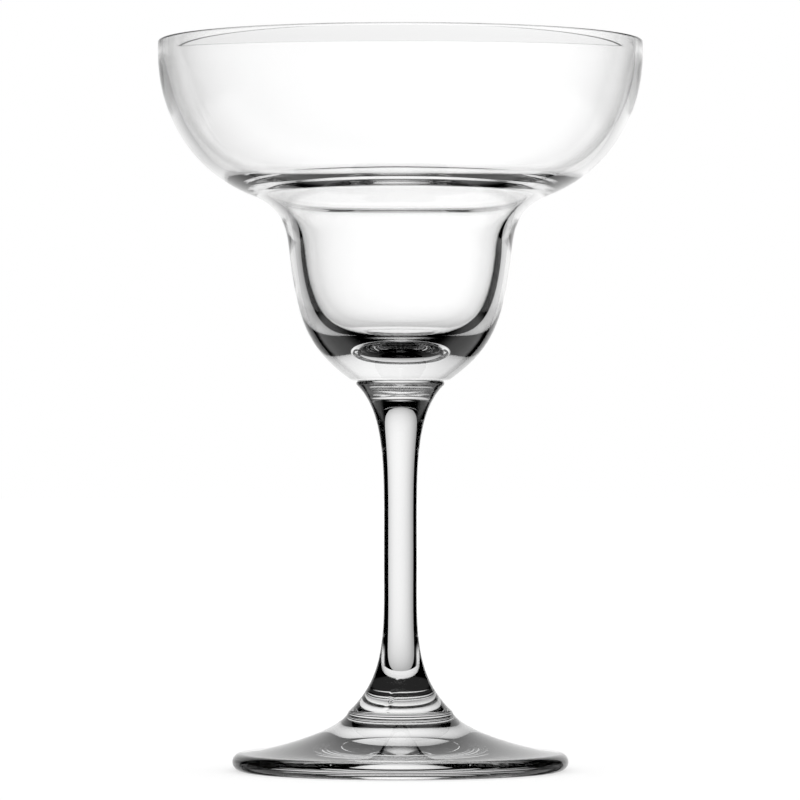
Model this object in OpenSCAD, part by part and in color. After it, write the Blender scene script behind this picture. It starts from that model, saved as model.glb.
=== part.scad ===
// Margarita glass: a blown bowl, a drawn stem and a pressed foot, fused end to end.
// The origin is the centre of the plane that the foot stands on, with +Z up through the rim.

/* [Bowl] */
// Outside diameter at the straight lip
bowl_d = 116.6; // [106:0.2:130]
// Wall at the rounded rim
rim_wall = 1.25; // [1:0.05:2]
// Height of the straight lip
lip_h = 3.1; // [1.5:0.1:8]
// Height of the saucer, from the shoulder up to the lip
saucer_h = 34; // [28:0.5:42]
// Outside diameter where the saucer turns into the shoulder
shoulder_d = 72; // [66:0.5:80]
// Slope of the outside there, in degrees from level
shoulder_slope = 21.5; // [14:0.5:26]
// Slope of the inside there, in degrees from level
shoulder_slope_in = 7.5; // [0:0.5:12]
// Wall at the shoulder
shoulder_wall = 3.1; // [2:0.1:4]
// Height of the shoulder, from the cup up to the saucer
shoulder_h = 14.8; // [12:0.2:20]
// Outside diameter at the top of the cup
cup_d = 53.2; // [48:0.2:58]
// Lean of the wall at the top of the cup, in degrees from level
cup_lean = 83; // [78:0.5:88]
// Wall at the top of the cup
cup_wall = 3.7; // [3:0.1:5.5]
// Height of the cup, from the stem up to the shoulder
cup_h = 30; // [26:0.5:40]
// Solid glass between the stem and the cup's hollow
floor_t = 7.8; // [5:0.2:11]
// Height of the small turn where the bowl's underside meets the stem
heel_h = 1; // [0.6:0.1:2]
// Width of that turn
heel_w = 2.1; // [1.4:0.1:4]
// Slope of the underside above that turn, in degrees from level
heel_slope = 36.5; // [28:0.5:44]

/* [Stem] */
// Length, from the foot up to the bowl
stem_l = 79.2; // [65:0.2:105]
// Diameter at the slimmest place
stem_d = 8; // [6:0.1:11]
// Height of the slimmest place above the foot
stem_waist = 36.2; // [28:0.2:46]
// Diameter of the flare under the bowl
stem_top_d = 21.2; // [16:0.2:24]
// Slope of that flare, in degrees from level
stem_top_slope = 45; // [35:1:60]
// Rounding of that flare's edge
stem_edge_r = 0.6; // [0.3:0.1:1]
// Diameter on the foot
stem_base_d = 24.4; // [18:0.2:28]
// Slope of the stem there, in degrees from level
stem_base_slope = 44; // [36:1:60]

/* [Foot] */
// Diameter
foot_d = 80.8; // [70:0.2:95]
// Height, from the table up to the stem
foot_h = 14.4; // [11:0.2:20]
// Thickness at the half-round edge
foot_edge = 4.2; // [3:0.1:5]
// Slope of the top beside that edge, in degrees from level
foot_slope = 3.5; // [1:0.5:8]
// Slope of the top beside the stem, in degrees from level
collar_slope = 80; // [60:1:88]
// Width of the flat ring that stands on the table
rest_w = 4; // [2:0.5:8]
// Depth of the hollow inside that ring
hollow_h = 1.6; // [0.6:0.1:2.6]

/* [Joints] */
// How far the bowl's and the foot's joining faces reach past the stem's
seam_ledge = 0.2; // [0.1:0.05:0.6]

/* [Hidden] */
glass = [0.88, 0.92, 0.93, 0.5];

// Straight steps in each curve and in each rounded edge
curve_steps = 12;
edge_steps = 8;
turn_steps = 90;

// How far each end of a curve holds its own direction, as shares of the straight span
saucer_grips = [0.375, 0.37];
shoulder_grips = [0.33, 0.525];
cup_grips = [0.375, 0.47];
hollow_saucer_grips = [0.41, 0.15];
hollow_shoulder_grips = [0.535, 0.185];
hollow_cup_grips = [0.49, 0.55];
heel_grips = [0.4, 0.4];
stem_low_grips = [0.34, 0.455];
stem_high_grips = [0.49, 0.24];
foot_grips = [0.16, 0.275];
hollow_foot_grips = [0.35, 0.35];

// Radii of the joining faces
stem_top_r = stem_top_d / 2;
stem_base_r = stem_base_d / 2;
heel_r = stem_top_r + seam_ledge;
collar_r = stem_base_r + seam_ledge;

// Heights above the table
stem_top_z = foot_h + stem_l;
cup_floor_z = stem_top_z + floor_t;
cup_top_z = stem_top_z + cup_h;
shoulder_z = cup_top_z + shoulder_h;
lip_z = shoulder_z + saucer_h;
rim_z = lip_z + lip_h;

// Places in the half section, as distance from the axis and height
heel_turn = [heel_r + heel_w, stem_top_z + heel_h];
cup_top = [cup_d / 2, cup_top_z];
cup_top_in = cup_top - [cup_wall, 0];
shoulder_turn = [shoulder_d / 2, shoulder_z];
shoulder_turn_in = shoulder_turn + shoulder_wall * heading(shoulder_slope + 90);
lip = [bowl_d / 2, lip_z];
lip_in = lip - [rim_wall, 0];
stem_slim = [stem_d / 2, foot_h + stem_waist];

// Unit step along an angle, in degrees from level and outward
function heading(angle) = [cos(angle), sin(angle)];

// Points of a curve from a up to but not at b, leaving at one angle and arriving at another
function sweep(a, a_angle, b, b_angle, grips) =
    let (
        span = norm(b - a),
        leave = a + grips[0] * span * heading(a_angle),
        arrive = b - grips[1] * span * heading(b_angle)
    )
    [
        for (i = [0 : curve_steps - 1])
            let (t = i / curve_steps, u = 1 - t)
            u * u * u * a + 3 * u * u * t * leave + 3 * u * t * t * arrive + t * t * t * b
    ];

// Points of a round edge about a centre, from one angle to another
function round_edge(centre, r, from, to) =
    [for (i = [0 : edge_steps]) centre + r * heading(from + (to - from) * i / edge_steps)];

// Inside of the bowl, from the middle of the cup's floor up to the lip
function bowl_inside() = concat(
    sweep([0, cup_floor_z], 0, cup_top_in, cup_lean, hollow_cup_grips),
    sweep(cup_top_in, cup_lean, shoulder_turn_in, shoulder_slope_in, hollow_shoulder_grips),
    sweep(shoulder_turn_in, shoulder_slope_in, lip_in, 90, hollow_saucer_grips),
    [lip_in]
);

// Outside of the bowl, from the middle of its joining face up to the lip
function bowl_outside() = concat(
    [[0, stem_top_z]],
    sweep([heel_r, stem_top_z], 0, heel_turn, heel_slope, heel_grips),
    sweep(heel_turn, heel_slope, cup_top, cup_lean, cup_grips),
    sweep(cup_top, cup_lean, shoulder_turn, shoulder_slope, shoulder_grips),
    sweep(shoulder_turn, shoulder_slope, lip, 90, saucer_grips),
    [lip]
);

// Half section turned a full round about the axis
module turned(points) {
    color(glass)
        rotate_extrude($fn = turn_steps)
            polygon(points);
}

// Saucer, shoulder and cup blown in one, with a fire-polished rim
module bowl() {
    rim_r = rim_wall / 2;
    rim_centre = [lip[0] - rim_r, rim_z - rim_r];
    outside = bowl_outside();
    inside = bowl_inside();
    turned(concat(
        outside,
        round_edge(rim_centre, rim_r, 0, 180),
        [for (i = [len(inside) - 1 : -1 : 0]) inside[i]]
    ));
}

// Solid stem, slim in the middle and flared to both of its joining faces
module stem() {
    edge_centre = [stem_top_r - stem_edge_r, stem_top_z - stem_edge_r];
    edge_from = stem_top_slope - 90;
    flare_end = edge_centre + stem_edge_r * heading(edge_from);
    turned(concat(
        [[0, foot_h]],
        sweep([stem_base_r, foot_h], 180 - stem_base_slope, stem_slim, 90, stem_low_grips),
        sweep(stem_slim, 90, flare_end, stem_top_slope, stem_high_grips),
        round_edge(edge_centre, stem_edge_r, edge_from, 90),
        [[0, stem_top_z]]
    ));
}

// Disc foot with a half-round edge, a rising top and a shallow hollow under it
module foot() {
    edge_r = foot_edge / 2;
    edge_centre = [foot_d / 2 - edge_r, edge_r];
    edge_top = edge_centre + [0, edge_r];
    rest_in = [edge_centre[0] - rest_w, 0];
    hollow_slope = 2 * atan2(hollow_h, rest_in[0]);
    turned(concat(
        [[0, foot_h]],
        sweep([collar_r, foot_h], -collar_slope, edge_top, -foot_slope, foot_grips),
        round_edge(edge_centre, edge_r, 90, -90),
        sweep(rest_in, 180 - hollow_slope, [0, hollow_h], 180, hollow_foot_grips),
        [[0, hollow_h]]
    ));
}

bowl();
stem();
foot();
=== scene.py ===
"""Dresses a margarita glass: blown bowl, drawn stem and pressed foot of clear glass, in a plain studio."""

import math

import bmesh
import bpy
from mathutils import Matrix, Vector, noise


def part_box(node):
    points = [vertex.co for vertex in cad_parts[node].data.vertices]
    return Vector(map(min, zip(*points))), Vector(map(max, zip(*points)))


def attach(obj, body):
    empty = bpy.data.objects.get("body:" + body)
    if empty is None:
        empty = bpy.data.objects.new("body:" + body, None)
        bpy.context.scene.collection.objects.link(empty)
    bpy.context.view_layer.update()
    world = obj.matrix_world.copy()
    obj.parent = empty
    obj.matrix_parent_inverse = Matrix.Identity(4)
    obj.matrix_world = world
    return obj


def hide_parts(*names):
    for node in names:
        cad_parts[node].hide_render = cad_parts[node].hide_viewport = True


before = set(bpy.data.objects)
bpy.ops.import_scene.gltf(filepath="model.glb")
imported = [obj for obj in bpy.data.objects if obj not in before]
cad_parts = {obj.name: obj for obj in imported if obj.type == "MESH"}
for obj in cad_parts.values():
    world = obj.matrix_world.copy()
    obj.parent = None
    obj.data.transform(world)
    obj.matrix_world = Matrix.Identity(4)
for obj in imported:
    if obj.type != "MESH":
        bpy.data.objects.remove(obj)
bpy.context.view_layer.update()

bl_info = {
    "name": "Margarita Glass",
    "version": (1, 0, 0),
    "blender": (4, 5, 0),
    "location": "3D View > Sidebar > Glassware",
    "description": "Makes the three fused pieces of a margarita glass and the studio around them",
    "category": "Mesh",
}

MM = 0.001
BOWL_LOW, BOWL_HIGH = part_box("bowl")
STEM_LOW, STEM_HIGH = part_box("stem")
FOOT_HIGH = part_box("foot")[1]

# How far each end of a curve holds its own direction, as shares of the straight span
SAUCER_GRIPS = (0.375, 0.37)
SHOULDER_GRIPS = (0.33, 0.525)
CUP_GRIPS = (0.375, 0.47)
HOLLOW_SAUCER_GRIPS = (0.41, 0.15)
HOLLOW_SHOULDER_GRIPS = (0.535, 0.185)
HOLLOW_CUP_GRIPS = (0.49, 0.55)
HEEL_GRIPS = (0.4, 0.4)
STEM_LOW_GRIPS = (0.34, 0.455)
STEM_HIGH_GRIPS = (0.49, 0.24)
FOOT_GRIPS = (0.16, 0.275)
HOLLOW_FOOT_GRIPS = (0.35, 0.35)

# Angle straight up in a half section
UPRIGHT = math.pi / 2

# Facets round the axis, so many that the light through them shows no steps
BOWL_FACETS = 288
STEM_FACETS = 192
FOOT_FACETS = 288
STAGE_FACETS = 128

# Vertices nearer than this become one
MERGE_REACH = 1e-7

# Faces nearer than this to a seam's height lie in that seam
SEAM_REACH = 1e-6

# Two faces that turn more than this keep a sharp edge between them
SHARP_TURN = math.radians(35)

# Swells begin and are full this far under the lip, where a face looks up and in by more than a little
SWELL_START = 4 * MM
SWELL_FULL = 20 * MM
LOOKS_IN = 0.2

# Wrinkles begin and are full this far under the stem's top, and are so many times longer round it
WRINKLE_START = 6 * MM
WRINKLE_FULL = 4 * MM
WRINKLE_ROUND = 12

# The shear mark's height above the base, its lean aside, and its half width at full and at no depth
SHEAR_RISE = 8.5 * MM
SHEAR_LEAN = 3.6 * MM
SHEAR_CORE = 0.2 * MM
SHEAR_EDGE = 1.0 * MM

# Traces of hot working keep this far off the joining faces
SEAM_MARGIN = 0.1 * MM

# Limits between whole numbers, for the faces that a path of light has met
ONE_OR_MORE = 0.5
FOUR_OR_MORE = 3.5

# Light turns back many times inside solid glass before it leaves, and meets the seams on its way
GLASS_BOUNCES = 40
SEAM_BOUNCES = 60

# The table's radius, and how far the disc of painted shade lies above it
TABLE_RADIUS = 6.0
SHADE_LIFT = 0.1 * MM

# The long lens of the photograph: focal length on its sensor in mm, its place, and what it is aimed at
FOCAL_LENGTH = 243.6
SENSOR_WIDTH = 36.0
CAMERA_PLACE = (-0.0001, -1.302, 0.0794)
CAMERA_AIM = (-0.0001, 0.0, 0.0890)


def length(name, description, default):
    """A size in metres that a user can change."""
    return bpy.props.FloatProperty(
        name=name, description=description, default=default, precision=5, unit="LENGTH")


def slope(name, description, degrees):
    """An angle that a user can change, from level and outward."""
    return bpy.props.FloatProperty(
        name=name, description=description, default=math.radians(degrees), precision=3, unit="ROTATION")


def level(name, description, default):
    """A brightness or roughness that a user can change."""
    return bpy.props.FloatProperty(
        name=name, description=description, default=default, min=0.0, precision=3)


def hex_colour(text):
    """Linear colour of an sRGB hex value."""
    channels = [int(text[i:i + 2], 16) / 255 for i in (1, 3, 5)]
    return [c / 12.92 if c <= 0.04045 else ((c + 0.055) / 1.055) ** 2.4 for c in channels] + [1.0]


def colour(name, description, text):
    """A colour that a user can change, given as an sRGB hex value."""
    return bpy.props.FloatVectorProperty(
        name=name, description=description, default=hex_colour(text),
        size=4, min=0.0, max=1.0, subtype="COLOR")


class BowlSizes(bpy.types.PropertyGroup):
    """Sizes of the blown bowl."""

    lip_radius: length("Lip radius", "Outside radius at the straight lip", BOWL_HIGH[0])
    rim_height: length("Rim height", "Top of the rim above the table", BOWL_HIGH[2])
    seam_height: length("Seam height", "Joining face on the stem above the table", BOWL_LOW[2])
    rim_wall: length("Rim wall", "Wall at the rounded rim", 1.25 * MM)
    lip_height: length("Lip height", "Height of the straight lip", 3.1 * MM)
    shoulder_height: length("Shoulder height", "Turn from saucer to shoulder above the seam", 44.8 * MM)
    shoulder_radius: length("Shoulder radius", "Outside radius at that turn", 36.0 * MM)
    shoulder_slope: slope("Shoulder slope", "Slope of the outside at that turn", 21.5)
    shoulder_wall: length("Shoulder wall", "Wall at that turn", 3.1 * MM)
    inside_shoulder_slope: slope("Inside shoulder slope", "Slope of the inside at that turn", 7.5)
    cup_height: length("Cup height", "Top of the cup above the seam", 30.0 * MM)
    cup_radius: length("Cup radius", "Outside radius at the top of the cup", 26.6 * MM)
    cup_lean: slope("Cup lean", "Lean of the wall at the top of the cup", 83.0)
    cup_wall: length("Cup wall", "Wall at the top of the cup", 3.7 * MM)
    floor_height: length("Floor", "Solid glass between the seam and the cup's hollow", 7.8 * MM)
    seam_radius: length("Seam radius", "Outside radius of the joining face", 10.8 * MM)
    fused_radius: length("Fused radius", "Radius inside which bowl and stem are one glass", 10.0 * MM)
    heel_height: length("Heel height", "Height of the small turn beside the stem", 1.0 * MM)
    heel_width: length("Heel width", "Width of that turn", 2.1 * MM)
    heel_slope: slope("Heel slope", "Slope of the underside above that turn", 36.5)


class StemSizes(bpy.types.PropertyGroup):
    """Sizes of the drawn stem."""

    base_height: length("Base height", "Joining face on the foot above the table", STEM_LOW[2])
    top_height: length("Top height", "Joining face under the bowl above the table", STEM_HIGH[2])
    base_radius: length("Base radius", "Radius on the foot", STEM_HIGH[0])
    base_slope: slope("Base slope", "Slope of the stem on the foot", 44.0)
    waist_height: length("Waist height", "Slimmest place above the foot", 36.2 * MM)
    waist_radius: length("Waist radius", "Radius at the slimmest place", 4.0 * MM)
    top_radius: length("Top radius", "Radius of the flare under the bowl", 10.6 * MM)
    top_slope: slope("Top slope", "Slope of that flare", 45.0)
    edge_radius: length("Edge radius", "Rounding of that flare's edge", 0.6 * MM)


class FootSizes(bpy.types.PropertyGroup):
    """Sizes of the pressed foot."""

    radius: length("Radius", "Outside radius", FOOT_HIGH[0])
    height: length("Height", "Joining face under the stem above the table", FOOT_HIGH[2])
    edge: length("Edge", "Thickness at the half-round edge", 4.2 * MM)
    top_slope: slope("Top slope", "Fall of the top beside that edge", 3.5)
    collar_radius: length("Collar radius", "Radius of the joining face", 12.4 * MM)
    fused_radius: length("Fused radius", "Radius inside which foot and stem are one glass", 12.2 * MM)
    collar_slope: slope("Collar slope", "Fall of the top beside the stem", 80.0)
    rest_width: length("Rest width", "Width of the flat ring that stands on the table", 4.0 * MM)
    hollow_depth: length("Hollow depth", "Depth of the hollow inside that ring", 1.6 * MM)


class GlassFinish(bpy.types.PropertyGroup):
    """Colour of the glass and the traces that working it hot has left."""

    colour: colour("Colour", "Tint of the glass", "#FFFFFF")
    haze: level("Haze", "Roughness of the least sharp patches", 0.03)
    patch_span: length("Patch span", "Distance between those patches", 30 * MM)
    ripple_span: length("Ripple span", "Distance between faint ripples of the face", 9 * MM)
    ripple_depth: length("Ripple depth", "Depth of those ripples", 0.006 * MM)
    swell_span: length("Swell span", "Distance between slow swells of the wall", 24 * MM)
    swell_depth: length("Swell depth", "Depth of those swells", 0.08 * MM)
    wrinkle_span: length("Wrinkle span", "Distance between chill wrinkles under the bowl", 0.8 * MM)
    wrinkle_depth: length("Wrinkle depth", "Depth of those wrinkles", 0.03 * MM)
    shear_span: length("Shear span", "Distance between jags of the shear mark low on the stem", 1.1 * MM)
    shear_depth: length("Shear depth", "Depth of those jags", 0.08 * MM)


class StudioSettings(bpy.types.PropertyGroup):
    """Places and brightness of the studio around the glass, where 1 shows as white."""

    screen_behind: length("Screen behind", "How far behind the glass the round screen stands", 0.55)
    screen_aside: length("Screen aside", "How far to the right of the glass its middle is", -33 * MM)
    screen_height: length("Screen height", "Its middle above the table", 120 * MM)
    screen_radius: length("Screen radius", "Its radius", 438 * MM)
    screen_light: level("Screen light", "Brightness that fades outwards over it", 1.02)
    lamp_aside: length("Lamp aside", "How far to the right of the glass its wide lamp is", 58 * MM)
    lamp_height: length("Lamp height", "That lamp above the table", 125 * MM)
    lamp_spread: length("Lamp spread", "Distance at which its light has faded to about a third", 480 * MM)
    wall_light: level("Wall light", "Share by which the screen is brighter through two walls", 0.22)
    ceiling_light: level("Ceiling light", "Brightness overhead", 0.6)
    table_light: level("Table light", "Brightness of the table around the glass", 0.95)
    side_light: level("Side light", "Brightness of the panels on both sides and in front", 0.95)
    table_colour: colour("Table colour", "Matt paint of the table", "#BCBCBC")
    table_lift: level("Table lift", "Light that the camera sees there besides what falls on it", 0.55)
    # Where the painted shade under the foot lies, and how dim it glows
    shade_behind: length("Shade behind", "Middle of the shade under the foot, behind the axis", 7.5 * MM)
    shade_inner: length("Shade inner", "Radius of the full shade there", 9.5 * MM)
    shade_outer: length("Shade outer", "Radius where that shade has ended", 12 * MM)
    shade_light: level("Shade light", "Brightness in that shade", 0.02)


def heading(angle):
    """Unit step in the half section along an angle from level and outward."""
    return Vector((math.cos(angle), math.sin(angle)))


def sweep(a, a_angle, b, b_angle, grips, steps):
    """Points of a curve from a up to but not at b, leaving at one angle and arriving at another."""
    span = (b - a).length
    leave = a + grips[0] * span * heading(a_angle)
    arrive = b - grips[1] * span * heading(b_angle)
    points = []
    for step in range(steps):
        t = step / steps
        u = 1.0 - t
        points.append(u ** 3 * a + 3 * u * u * t * leave + 3 * u * t * t * arrive + t ** 3 * b)
    return points


def round_edge(centre, radius, start, end, steps):
    """Points of a round edge about a centre, from one angle to another."""
    return [centre + radius * heading(start + (end - start) * step / steps) for step in range(steps + 1)]


def add(tree, kind, inputs=None, **settings):
    """A new node with its settings, each input given a value or linked to a node or one of its outputs."""
    made = tree.nodes.new(kind)
    for name, value in settings.items():
        setattr(made, name, value)
    for name, value in (inputs or {}).items():
        if isinstance(value, bpy.types.Node):
            value = value.outputs[0]
        if isinstance(value, bpy.types.NodeSocket):
            tree.links.new(value, made.inputs[name])
        else:
            made.inputs[name].default_value = value
    return made


def new_material(name):
    """An empty node material."""
    material = bpy.data.materials.new(name)
    material.use_nodes = True
    material.node_tree.nodes.clear()
    return material, material.node_tree


def clear_glass(finish):
    """Soda-lime glass, worked hot and fire-polished: colourless and sharp, with faint ripples."""
    material, tree = new_material("fire_polished_soda_lime_glass")
    place = add(tree, "ShaderNodeTexCoord").outputs["Object"]
    ripples = add(tree, "ShaderNodeTexNoise", {
        "Vector": place, "Scale": 1.0 / finish.ripple_span, "Detail": 1.0})
    face = add(tree, "ShaderNodeBump", {"Height": ripples, "Distance": finish.ripple_depth})
    patches = add(tree, "ShaderNodeTexNoise", {
        "Vector": place, "Scale": 1.0 / finish.patch_span, "Detail": 3.0})
    haze = add(tree, "ShaderNodeMapRange", {
        "Value": patches, "From Min": 0.4, "From Max": 0.7, "To Min": 0.0, "To Max": finish.haze})
    shader = add(tree, "ShaderNodeBsdfPrincipled", {
        "Base Color": finish.colour, "Roughness": haze.outputs["Result"], "IOR": 1.52,
        "Transmission Weight": 1.0, "Normal": face})
    add(tree, "ShaderNodeOutputMaterial", {"Surface": shader})
    return material


def fused_seam():
    """Two glasses melted into one: the joining faces inside the seam show nothing at all."""
    material, tree = new_material("fused_glass_seam")
    shader = add(tree, "ShaderNodeBsdfTransparent", {"Color": hex_colour("#FFFFFF")})
    add(tree, "ShaderNodeOutputMaterial", {"Surface": shader})
    return material


def turned(half_section, facets):
    """A closed piece spun from a half section that starts and ends on the axis."""
    bm = bmesh.new()
    verts = [bm.verts.new((point.x, 0.0, point.y)) for point in half_section]
    edges = [bm.edges.new(pair) for pair in zip(verts, verts[1:])]
    bmesh.ops.spin(bm, geom=verts + edges, axis=(0, 0, 1), cent=(0, 0, 0), angle=math.tau,
                   steps=facets, use_merge=True)
    bmesh.ops.remove_doubles(bm, verts=bm.verts[:], dist=MERGE_REACH)
    bmesh.ops.recalc_face_normals(bm, faces=bm.faces[:])
    bm.normal_update()
    return bm


def work_face(bm, around, along, depth_at):
    """Waves left by heat and tools: noise of a span around and along the axis moves vertices in or out."""
    moves = []
    for vert in bm.verts:
        depth = depth_at(vert)
        if depth > 0.0:
            place = Vector((vert.co.x / around, vert.co.y / around, vert.co.z / along))
            moves.append((vert, vert.normal * depth * noise.noise(place)))
    for vert, move in moves:
        vert.co += move
    bm.normal_update()


def ramp(value, start, full):
    """Share from 0 to 1 of the way that a value has gone from its start to where it is full."""
    return min(max((value - start) / (full - start), 0.0), 1.0)


def finish_piece(name, bm, finish, seams, node):
    """Turns a finished bmesh into a piece that stands for one node of the frame."""
    for face in bm.faces:
        face.smooth = True
        middle = face.calc_center_median()
        for height, radius in seams:
            if abs(middle.z - height) < SEAM_REACH and middle.xy.length < radius:
                face.material_index = 1
                face.smooth = False
    for edge in bm.edges:
        if len(edge.link_faces) == 2 and edge.calc_face_angle() > SHARP_TURN:
            edge.smooth = False
    mesh = bpy.data.meshes.new(name)
    bm.to_mesh(mesh)
    bm.free()
    mesh.materials.append(clear_glass(finish))
    mesh.materials.append(fused_seam())
    piece = bpy.data.objects.new(name, mesh)
    bpy.context.scene.collection.objects.link(piece)
    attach(piece, "root")
    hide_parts(node)
    return piece


def bowl_half_section(size):
    """Outside up to the rim, over it, and down the inside to the middle of the cup's floor."""
    seam = size.seam_height
    heel = Vector((size.seam_radius, seam))
    heel_turn = heel + Vector((size.heel_width, size.heel_height))
    cup_top = Vector((size.cup_radius, seam + size.cup_height))
    cup_top_in = cup_top - Vector((size.cup_wall, 0.0))
    shoulder = Vector((size.shoulder_radius, seam + size.shoulder_height))
    shoulder_in = shoulder + size.shoulder_wall * heading(size.shoulder_slope + UPRIGHT)
    lip = Vector((size.lip_radius, size.rim_height - size.lip_height))
    lip_in = lip - Vector((size.rim_wall, 0.0))
    rim_radius = size.rim_wall / 2
    rim_centre = Vector((lip.x - rim_radius, size.rim_height - rim_radius))
    floor = Vector((0.0, seam + size.floor_height))
    slope_in = size.inside_shoulder_slope

    outside = [Vector((0.0, seam)), Vector((size.fused_radius, seam))]
    outside += sweep(heel, 0.0, heel_turn, size.heel_slope, HEEL_GRIPS, steps=8)
    outside += sweep(heel_turn, size.heel_slope, cup_top, size.cup_lean, CUP_GRIPS, steps=30)
    outside += sweep(cup_top, size.cup_lean, shoulder, size.shoulder_slope, SHOULDER_GRIPS, steps=26)
    outside += sweep(shoulder, size.shoulder_slope, lip, UPRIGHT, SAUCER_GRIPS, steps=34)
    outside += [lip]
    rim = round_edge(rim_centre, rim_radius, 0.0, math.pi, steps=12)
    inside = sweep(floor, 0.0, cup_top_in, size.cup_lean, HOLLOW_CUP_GRIPS, steps=34)
    inside += sweep(cup_top_in, size.cup_lean, shoulder_in, slope_in, HOLLOW_SHOULDER_GRIPS, steps=30)
    inside += sweep(shoulder_in, slope_in, lip_in, UPRIGHT, HOLLOW_SAUCER_GRIPS, steps=34)
    inside += [lip_in]
    return outside + rim + inside[::-1]


def stem_half_section(size):
    """Joining face on the foot, the drawn outside, and the joining face under the bowl."""
    base = Vector((size.base_radius, size.base_height))
    waist = Vector((size.waist_radius, size.base_height + size.waist_height))
    edge_centre = Vector((size.top_radius - size.edge_radius, size.top_height - size.edge_radius))
    edge_start = size.top_slope - UPRIGHT
    flare_end = edge_centre + size.edge_radius * heading(edge_start)

    section = [Vector((0.0, size.base_height))]
    section += sweep(base, math.pi - size.base_slope, waist, UPRIGHT, STEM_LOW_GRIPS, steps=110)
    section += sweep(waist, UPRIGHT, flare_end, size.top_slope, STEM_HIGH_GRIPS, steps=130)
    section += round_edge(edge_centre, size.edge_radius, edge_start, UPRIGHT, steps=10)
    section += [Vector((0.0, size.top_height))]
    return section


def foot_half_section(size):
    """Joining face under the stem, falling top, half-round edge, flat ring and hollow."""
    edge_radius = size.edge / 2
    edge_centre = Vector((size.radius - edge_radius, edge_radius))
    edge_top = edge_centre + Vector((0.0, edge_radius))
    rest_in = Vector((edge_centre.x - size.rest_width, 0.0))
    hollow_top = Vector((0.0, size.hollow_depth))
    hollow_slope = 2 * math.atan2(size.hollow_depth, rest_in.x)
    collar = Vector((size.collar_radius, size.height))

    section = [Vector((0.0, size.height)), Vector((size.fused_radius, size.height))]
    section += sweep(collar, -size.collar_slope, edge_top, -size.top_slope, FOOT_GRIPS, steps=60)
    section += round_edge(edge_centre, edge_radius, UPRIGHT, -UPRIGHT, steps=20)
    section += sweep(rest_in, math.pi - hollow_slope, hollow_top, math.pi, HOLLOW_FOOT_GRIPS, steps=24)
    section += [hollow_top]
    return section


class GLASSWARE_OT_blow_bowl(bpy.types.Operator):
    """Make the blown bowl: saucer, shoulder and cup in one wall"""

    bl_idname = "glassware.blow_bowl"
    bl_label = "Blow Bowl"

    def execute(self, context):
        size = context.scene.glass_bowl
        finish = context.scene.glass_finish
        bm = turned(bowl_half_section(size), BOWL_FACETS)
        lip = size.rim_height - size.lip_height

        def inside_depth(vert):
            """The blown inside swells below the lip; the outside was formed by a mould."""
            out_of_axis = vert.normal.xy.dot(vert.co.xy.normalized())
            inside = vert.normal.z - out_of_axis > LOOKS_IN
            share = ramp(vert.co.z, lip - SWELL_START, lip - SWELL_FULL)
            return finish.swell_depth * share if inside else 0.0

        work_face(bm, finish.swell_span, finish.swell_span / 2, inside_depth)
        finish_piece("glass_bowl", bm, finish, [(size.seam_height, size.fused_radius)], "bowl")
        return {"FINISHED"}


class GLASSWARE_OT_draw_stem(bpy.types.Operator):
    """Make the drawn stem, flared to both of its joining faces"""

    bl_idname = "glassware.draw_stem"
    bl_label = "Draw Stem"

    def execute(self, context):
        size = context.scene.glass_stem
        finish = context.scene.glass_finish
        bm = turned(stem_half_section(size), STEM_FACETS)
        base, top = size.base_height, size.top_height

        def wrinkle_depth(vert):
            """The flare under the bowl chilled first, and wrinkled round."""
            share = ramp(vert.co.z, top - WRINKLE_START, top - WRINKLE_FULL)
            return finish.wrinkle_depth * share if vert.co.z < top - SEAM_MARGIN else 0.0

        def shear_depth(vert):
            """The gather was cut here: a jagged line that leans down the front of the base."""
            fall = ramp(vert.co.z, base + SHEAR_RISE, base)
            aside = abs(vert.co.x + SHEAR_LEAN * fall)
            marked = vert.co.y < 0 and base + SEAM_MARGIN < vert.co.z < base + SHEAR_RISE
            return finish.shear_depth * ramp(aside, SHEAR_EDGE, SHEAR_CORE) if marked else 0.0

        work_face(bm, WRINKLE_ROUND * finish.wrinkle_span, finish.wrinkle_span, wrinkle_depth)
        work_face(bm, finish.shear_span, finish.shear_span, shear_depth)
        seams = [(base, size.base_radius), (top, size.top_radius)]
        finish_piece("glass_stem", bm, finish, seams, "stem")
        return {"FINISHED"}


class GLASSWARE_OT_press_foot(bpy.types.Operator):
    """Make the pressed foot, with its half-round edge and shallow hollow"""

    bl_idname = "glassware.press_foot"
    bl_label = "Press Foot"

    def execute(self, context):
        size = context.scene.glass_foot
        finish = context.scene.glass_finish
        bm = turned(foot_half_section(size), FOOT_FACETS)
        finish_piece("glass_foot", bm, finish, [(size.height, size.fused_radius)], "foot")
        return {"FINISHED"}


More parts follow.
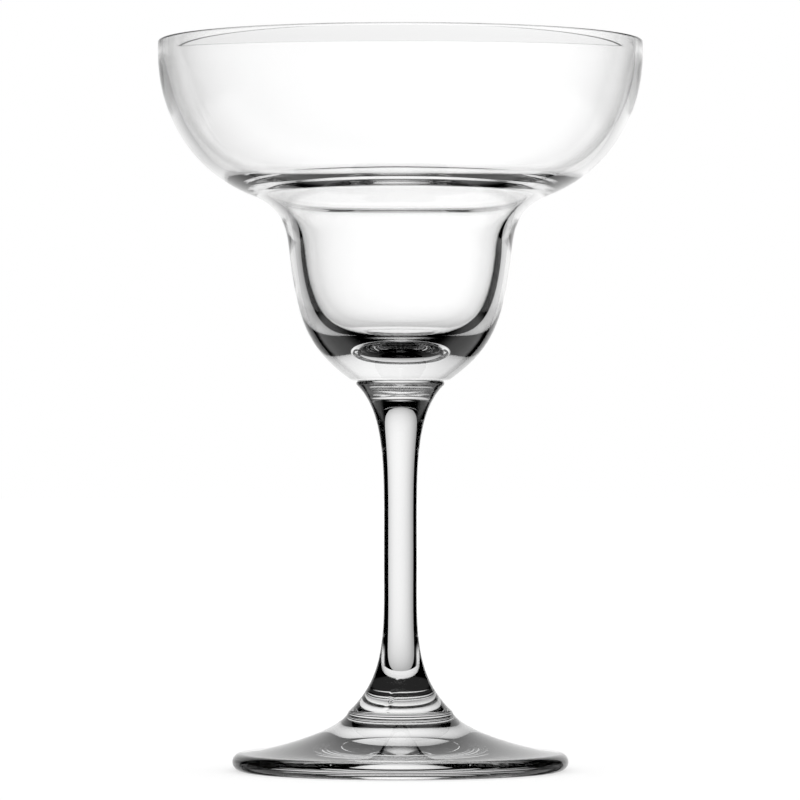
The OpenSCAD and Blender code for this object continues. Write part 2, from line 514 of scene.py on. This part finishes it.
def studio_world(studio):
    """White to the camera and to the table; glass sees pale panels in a dark room."""
    world = bpy.data.worlds.new("studio")
    bpy.context.scene.world = world
    world.use_nodes = True
    tree = world.node_tree
    tree.nodes.clear()
    direction = add(tree, "ShaderNodeTexCoord").outputs["Generated"]
    split = add(tree, "ShaderNodeSeparateXYZ", {"Vector": direction})
    off_back = add(tree, "ShaderNodeMath", {0: split.outputs["Y"]}, operation="ARCCOSINE")
    rise = add(tree, "ShaderNodeMath", {0: split.outputs["Z"]}, operation="ARCSINE")
    turn = add(tree, "ShaderNodeMath", {0: split.outputs["X"], 1: split.outputs["Y"]}, operation="ARCTAN2")
    sideways = add(tree, "ShaderNodeMath", {0: turn}, operation="ABSOLUTE")

    # Each panel's light, the kinds of path that meet it, and its soft edges in degrees from dark to lit
    through, solid, skin, caught = range(4)
    panels = (
        (studio.ceiling_light, (through, solid, skin, caught), ((rise, 44, 60), (sideways, 50, 28))),
        (studio.side_light, (through,), ((sideways, 70, 80), (rise, -34, -24), (rise, 20, 10))),
        (studio.side_light, (solid,), ((sideways, 70, 80), (rise, -16, -10), (rise, 14, 8))),
        (studio.side_light, (through, solid), ((off_back, 92, 104),)),
        (studio.table_light, (through,), ((rise, -14, -22), (off_back, 28, 38))),
        (studio.table_light, (solid,), ((rise, -14, -22), (rise, -60, -45), (off_back, 42, 52))),
        (studio.table_light, (skin,), ((rise, -16, -24), (off_back, 42, 52), (off_back, 100, 80))),
    )
    seen = [0.0, 0.0, 0.0, 0.0]
    for light, kinds, edges in panels:
        glow = light
        for angle, dark, lit in edges:
            limits = {"Value": angle, "From Min": math.radians(dark), "From Max": math.radians(lit)}
            edge = add(tree, "ShaderNodeMapRange", limits, interpolation_type="SMOOTHSTEP")
            glow = add(tree, "ShaderNodeMath", {0: glow, 1: edge}, operation="MULTIPLY")
        for kind in kinds:
            seen[kind] = add(tree, "ShaderNodeMath", {0: seen[kind], 1: glow}, operation="MAXIMUM")

    # A path goes through two walls or through one solid place, turns back off the outer skin,
    # or is caught by mirroring inside the glass
    path = add(tree, "ShaderNodeLightPath")
    faces_passed = path.outputs["Transmission Depth"]
    mirrors_met = path.outputs["Glossy Depth"]
    is_mirrored = add(tree, "ShaderNodeMath", {0: mirrors_met, 1: ONE_OR_MORE}, operation="GREATER_THAN")
    has_entered = add(tree, "ShaderNodeMath", {0: faces_passed, 1: ONE_OR_MORE}, operation="GREATER_THAN")
    two_walls = add(tree, "ShaderNodeMath", {0: faces_passed, 1: FOUR_OR_MORE}, operation="GREATER_THAN")
    straight = add(tree, "ShaderNodeMix", {
        "Factor": two_walls, "A": seen[solid], "B": seen[through]}, data_type="FLOAT")
    turned_back = add(tree, "ShaderNodeMix", {
        "Factor": has_entered, "A": seen[skin], "B": seen[caught]}, data_type="FLOAT")
    glass_sees = add(tree, "ShaderNodeMix", {
        "Factor": is_mirrored, "A": straight, "B": turned_back}, data_type="FLOAT")
    strength = add(tree, "ShaderNodeMix", {
        "Factor": path.outputs["Is Glossy Ray"], "A": 1.0, "B": glass_sees}, data_type="FLOAT")
    shader = add(tree, "ShaderNodeBackground", {"Color": hex_colour("#FFFFFF"), "Strength": strength})
    add(tree, "ShaderNodeOutputWorld", {"Surface": shader})


def flat_disc(name, radius, centre, turn, material):
    """A round flat stage piece about a centre, turned up from level."""
    bm = bmesh.new()
    bmesh.ops.create_circle(bm, cap_ends=True, radius=radius, segments=STAGE_FACETS,
                            matrix=Matrix.Translation(centre) @ Matrix.Rotation(turn, 4, "X"))
    mesh = bpy.data.meshes.new(name)
    bm.to_mesh(mesh)
    bm.free()
    mesh.materials.append(material)
    disc = bpy.data.objects.new(name, mesh)
    bpy.context.scene.collection.objects.link(disc)
    return disc


def screen_glow(studio):
    """White cloth with one lamp behind: it fades outwards, and makes up for what two walls mirror away."""
    material, tree = new_material("back_lit_screen_cloth")
    place = add(tree, "ShaderNodeTexCoord").outputs["Object"]
    lamp = (studio.lamp_aside, studio.screen_behind, studio.lamp_height)
    reach = add(tree, "ShaderNodeVectorMath", {0: place, 1: lamp}, operation="DISTANCE").outputs["Value"]
    spread = add(tree, "ShaderNodeMath", {0: reach, 1: studio.lamp_spread}, operation="DIVIDE")
    squared = add(tree, "ShaderNodeMath", {0: spread, 1: spread}, operation="MULTIPLY")
    falling = add(tree, "ShaderNodeMath", {0: squared, 1: -1.0}, operation="MULTIPLY")
    fading = add(tree, "ShaderNodeMath", {0: falling}, operation="EXPONENT")
    lamp_light = add(tree, "ShaderNodeMath", {0: fading, 1: studio.screen_light}, operation="MULTIPLY")
    faces_passed = add(tree, "ShaderNodeLightPath").outputs["Transmission Depth"]
    two_walls = add(tree, "ShaderNodeMath", {0: faces_passed, 1: FOUR_OR_MORE}, operation="GREATER_THAN")
    gain = add(tree, "ShaderNodeMath", {
        0: two_walls, 1: studio.wall_light, 2: 1.0}, operation="MULTIPLY_ADD")
    cloth_light = add(tree, "ShaderNodeMath", {0: lamp_light, 1: gain}, operation="MULTIPLY")
    shader = add(tree, "ShaderNodeEmission", {"Color": hex_colour("#FFFFFF"), "Strength": cloth_light})
    add(tree, "ShaderNodeOutputMaterial", {"Surface": shader})
    return material


def studio_screen(studio):
    """The round screen behind the glass, which only the glass sees."""
    centre = Vector((studio.screen_aside, studio.screen_behind, studio.screen_height))
    screen = flat_disc("back_screen", studio.screen_radius, centre, UPRIGHT, screen_glow(studio))
    screen.visible_camera = False
    screen.visible_diffuse = False
    screen.visible_shadow = False


def table_paint(studio):
    """Matt pale paint that the camera sees lit evenly to white, apart from the object's shadow."""
    material, tree = new_material("matt_white_table")
    to_camera = add(tree, "ShaderNodeLightPath").outputs["Is Camera Ray"]
    paint = add(tree, "ShaderNodeBsdfDiffuse", {"Color": studio.table_colour})
    lift = add(tree, "ShaderNodeMath", {0: to_camera, 1: studio.table_lift}, operation="MULTIPLY")
    glow = add(tree, "ShaderNodeEmission", {"Color": hex_colour("#FFFFFF"), "Strength": lift})
    lit = add(tree, "ShaderNodeAddShader", {0: paint, 1: glow})
    add(tree, "ShaderNodeOutputMaterial", {"Surface": lit})
    return material


def painted_foot_shade(studio):
    """Painted shade under the foot: a dim glow, dark behind the axis, and out of sight past that."""
    material, tree = new_material("painted_shade_under_foot")
    place = add(tree, "ShaderNodeTexCoord").outputs["Object"]
    middle = (0.0, studio.shade_behind, 0.0)
    reach = add(tree, "ShaderNodeVectorMath", {0: place, 1: middle}, operation="DISTANCE").outputs["Value"]
    limits = {"Value": reach, "From Min": studio.shade_inner, "From Max": studio.shade_outer}
    fade = add(tree, "ShaderNodeMapRange", limits, interpolation_type="SMOOTHSTEP")
    # Painted shade: a dim glow of fixed brightness stands in for the table in the foot's shadow
    dark = add(tree, "ShaderNodeEmission", {
        "Color": hex_colour("#FFFFFF"), "Strength": studio.shade_light})
    clear = add(tree, "ShaderNodeBsdfTransparent", {"Color": hex_colour("#FFFFFF")})
    both = add(tree, "ShaderNodeMixShader", {0: fade, 1: dark, 2: clear})
    add(tree, "ShaderNodeOutputMaterial", {"Surface": both})
    return material


def studio_table(studio):
    """A wide table top that glass looks past, and a small disc of painted shade on it that only glass
    sees.
    """
    top = flat_disc("table_top", TABLE_RADIUS, Vector(), 0.0, table_paint(studio))
    top.visible_transmission = False
    top.visible_glossy = False
    # A disc of painted shade under the foot, seen only through the glass
    middle = Vector((0.0, studio.shade_behind, SHADE_LIFT))
    shade = flat_disc("painted_table_shade", studio.shade_outer, middle, 0.0, painted_foot_shade(studio))
    shade.visible_camera = False
    shade.visible_diffuse = False
    shade.visible_shadow = False
    shade.visible_glossy = False


def studio_camera():
    """A long lens level with the stem, as the photograph was taken."""
    camera = bpy.data.cameras.new("studio_camera")
    camera.sensor_width = SENSOR_WIDTH
    camera.lens = FOCAL_LENGTH
    camera.clip_start = 0.05
    camera.clip_end = 20.0
    stand = bpy.data.objects.new("studio_camera", camera)
    stand.location = CAMERA_PLACE
    sight = Vector(CAMERA_AIM) - stand.location
    stand.rotation_euler = sight.to_track_quat("-Z", "Y").to_euler()
    bpy.context.scene.collection.objects.link(stand)
    bpy.context.scene.camera = stand


class GLASSWARE_OT_set_studio(bpy.types.Operator):
    """Set the floor, the light and the camera around the glass"""

    bl_idname = "glassware.set_studio"
    bl_label = "Set Studio"

    def execute(self, context):
        scene = context.scene
        scene.view_settings.view_transform = "Standard"
        scene.cycles.max_bounces = GLASS_BOUNCES
        scene.cycles.transmission_bounces = GLASS_BOUNCES
        scene.cycles.glossy_bounces = GLASS_BOUNCES
        scene.cycles.transparent_max_bounces = SEAM_BOUNCES
        studio = scene.glass_studio
        studio_world(studio)
        studio_screen(studio)
        studio_table(studio)
        studio_camera()
        return {"FINISHED"}


class GLASSWARE_PT_sidebar(bpy.types.Panel):
    """Sizes of the glass and the steps that make it"""

    bl_label = "Margarita Glass"
    bl_idname = "GLASSWARE_PT_sidebar"
    bl_space_type = "VIEW_3D"
    bl_region_type = "UI"
    bl_category = "Glassware"

    def draw(self, context):
        for operator in OPERATORS:
            self.layout.operator(operator.bl_idname)
        for group in PROPERTY_GROUPS:
            box = self.layout.box()
            box.label(text=group)
            settings = getattr(context.scene, group)
            for name in settings.bl_rna.properties.keys():
                if name not in {"rna_type", "name"}:
                    box.prop(settings, name)


PROPERTY_GROUPS = {
    "glass_bowl": BowlSizes,
    "glass_stem": StemSizes,
    "glass_foot": FootSizes,
    "glass_finish": GlassFinish,
    "glass_studio": StudioSettings,
}
OPERATORS = (
    GLASSWARE_OT_set_studio,
    GLASSWARE_OT_blow_bowl,
    GLASSWARE_OT_draw_stem,
    GLASSWARE_OT_press_foot,
)


def register():
    """Adds the settings, the steps and the sidebar panel."""
    for name, group in PROPERTY_GROUPS.items():
        bpy.utils.register_class(group)
        setattr(bpy.types.Scene, name, bpy.props.PointerProperty(type=group))
    for kind in (*OPERATORS, GLASSWARE_PT_sidebar):
        bpy.utils.register_class(kind)


def unregister():
    """Takes away again what register added."""
    for kind in (GLASSWARE_PT_sidebar, *reversed(OPERATORS)):
        bpy.utils.unregister_class(kind)
    for name, group in PROPERTY_GROUPS.items():
        delattr(bpy.types.Scene, name)
        bpy.utils.unregister_class(group)


def main():
    """Makes the glass in its studio."""
    register()
    bpy.ops.glassware.set_studio()
    bpy.ops.glassware.blow_bowl()
    bpy.ops.glassware.draw_stem()
    bpy.ops.glassware.press_foot()
    bpy.context.view_layer.update()


if __name__ == "__main__":
    main()
